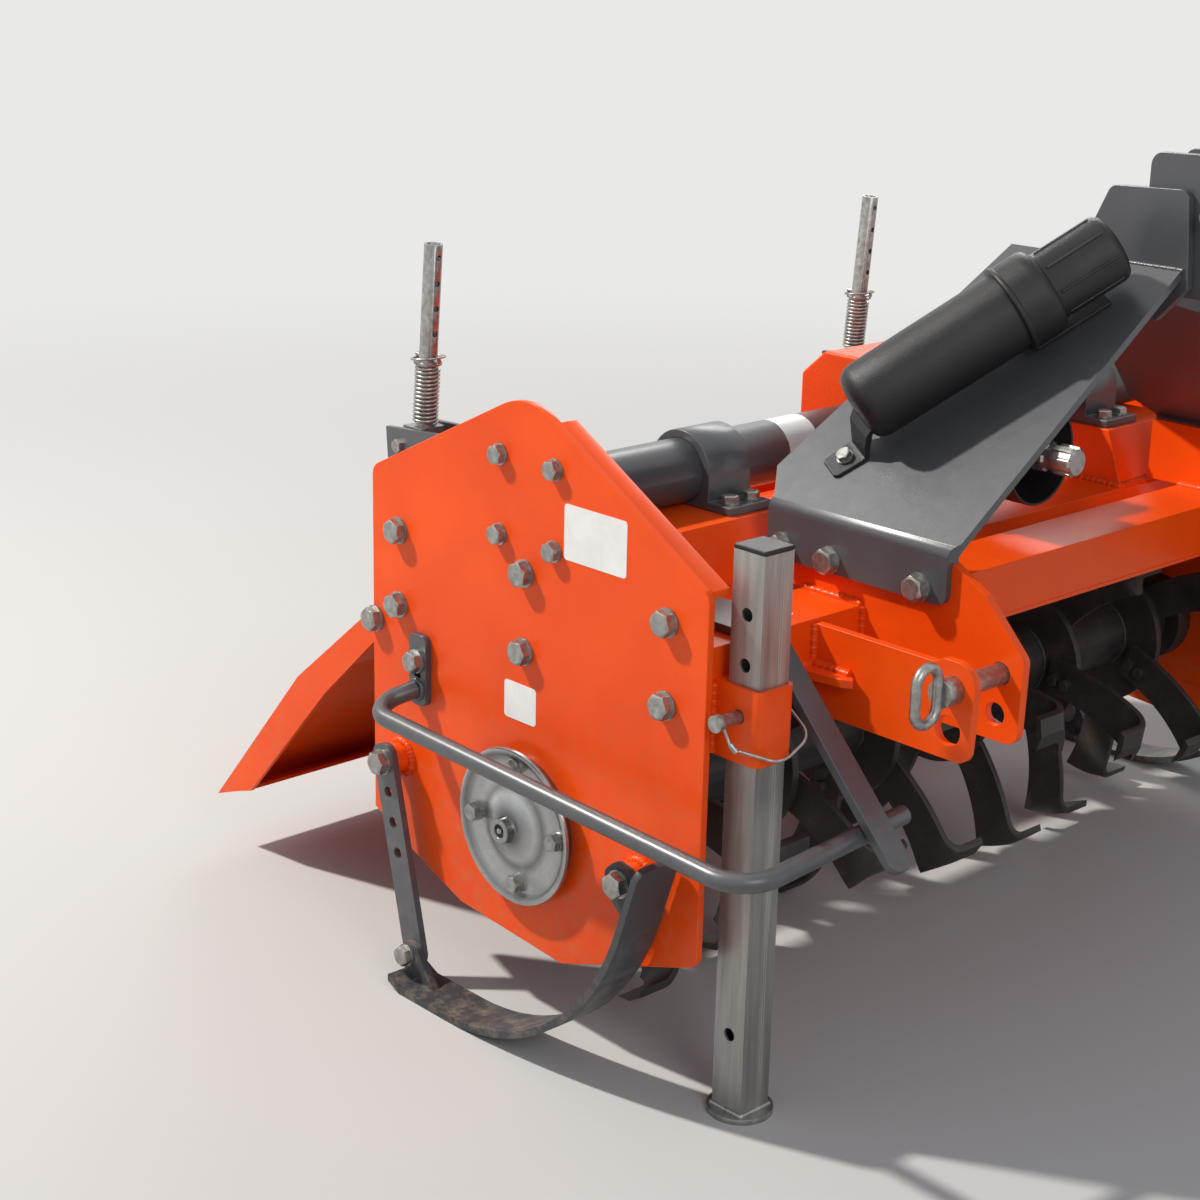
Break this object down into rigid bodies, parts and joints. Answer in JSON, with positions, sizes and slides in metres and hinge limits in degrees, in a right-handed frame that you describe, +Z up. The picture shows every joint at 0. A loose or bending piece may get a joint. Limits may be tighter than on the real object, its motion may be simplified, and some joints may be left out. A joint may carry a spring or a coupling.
{
  "type": "rotary tiller",
  "caption": "Rotary tiller for a compact tractor's three-point hitch: tined rotor under a hood, hinged tail board on spring rods, skids, side guards, mast and parking leg.",
  "frame": {"origin": "on the floor under the middle of the whole machine", "axes": "+X the way it is pulled, +Y to its left, +Z up"},
  "size_m": [1.0599, 1.3118, 0.9336],
  "materials": {
    "orange_paint": "smooth gloss powder coat",
    "grey_paint": "satin dark grey powder coat",
    "zinc_plate": "bright zinc plate with faint grain",
    "bright_steel": "turned and greased",
    "black_paint": "semi-gloss black",
    "black_plastic": "fine grained black moulding"
  },
  "bodies": {
    "frame": {"side_plate_right": "orange_paint", "side_plate_left": "orange_paint", "end_plates": "orange_paint", "hood": "orange_paint", "front_beam": "orange_paint", "rear_beam": "orange_paint", "cross_tube": "grey_paint", "drive_tube": "grey_paint", "tube_pedestals": "orange_paint", "tube_clamps": "grey_paint", "gearbox": "orange_paint", "pto_guard": "black_plastic", "gear_case": "orange_paint", "bearing_cap": "zinc_plate", "rotor_bearings": "black_paint", "hitch_outer_plates": "orange_paint", "hitch_shelves": "orange_paint", "hitch_inner_plates": "orange_paint", "hitch_pins": "zinc_plate", "mast_plates": "grey_paint", "mast_cheeks": "grey_paint", "top_link_lugs": "grey_paint", "top_link_pin": "zinc_plate", "paper_canister": "black_plastic", "canister_cap": "black_plastic", "side_guards": "grey_paint", "guard_braces": "grey_paint", "skids": "grey_paint", "skid_straps": "grey_paint", "skid_bosses": "orange_paint", "leg_sleeve": "orange_paint", "leg_pin": "zinc_plate", "tail_hinge_pins": "zinc_plate", "rod_brackets": "grey_paint"},
    "rotor": {"rotor": "black_paint"},
    "input_shaft": {"pto_shaft": "bright_steel"},
    "tail_board": {"tail_board": "orange_paint", "rod_eye_pins": "zinc_plate"},
    "rod_guides": {"rod_guides": "zinc_plate", "rod_springs": "zinc_plate"},
    "spring_rods": {"spring_rods": "zinc_plate", "rod_washers": "zinc_plate"},
    "leg": {"parking_leg": "zinc_plate", "leg_cap": "black_plastic"}
  },
  "joints": [
    {"name": "rotor_spin", "type": "hinge", "parent": "frame", "child": "rotor", "pos_m": [0.082, 0, 0.234], "axis": [0, 1, 0], "continuous": true},
    {"name": "input_spin", "type": "hinge", "parent": "frame", "child": "input_shaft", "pos_m": [0.082, 0, 0.583], "axis": [1, 0, 0], "continuous": true},
    {"name": "tail_board_swing", "type": "hinge", "parent": "frame", "child": "tail_board", "pos_m": [-0.17, 0, 0.398], "axis": [0, 1, 0], "range_deg": [0, 40]},
    {"name": "rod_guide_turn", "type": "hinge", "parent": "frame", "child": "rod_guides", "pos_m": [-0.333, 0, 0.539], "axis": [0, 1, 0], "range_deg": [0, 15]},
    {"name": "rod_slide", "type": "slide", "parent": "rod_guides", "child": "spring_rods", "axis": [0.0753, 0, 0.9972], "range_m": [0, 0.132]},
    {"name": "leg_slide", "type": "slide", "parent": "frame", "child": "leg", "axis": [0, 0, 1], "range_m": [0, 0.338]}
  ],
  "couplings": [
    {"joint": "input_spin", "follows": "rotor_spin", "ratio": 2.7},
    {"joint": "rod_guide_turn", "follows": "tail_board_swing", "ratio": 0.372},
    {"joint": "rod_slide", "follows": "tail_board_swing", "m_per_rad": 0.1865}
  ]
}
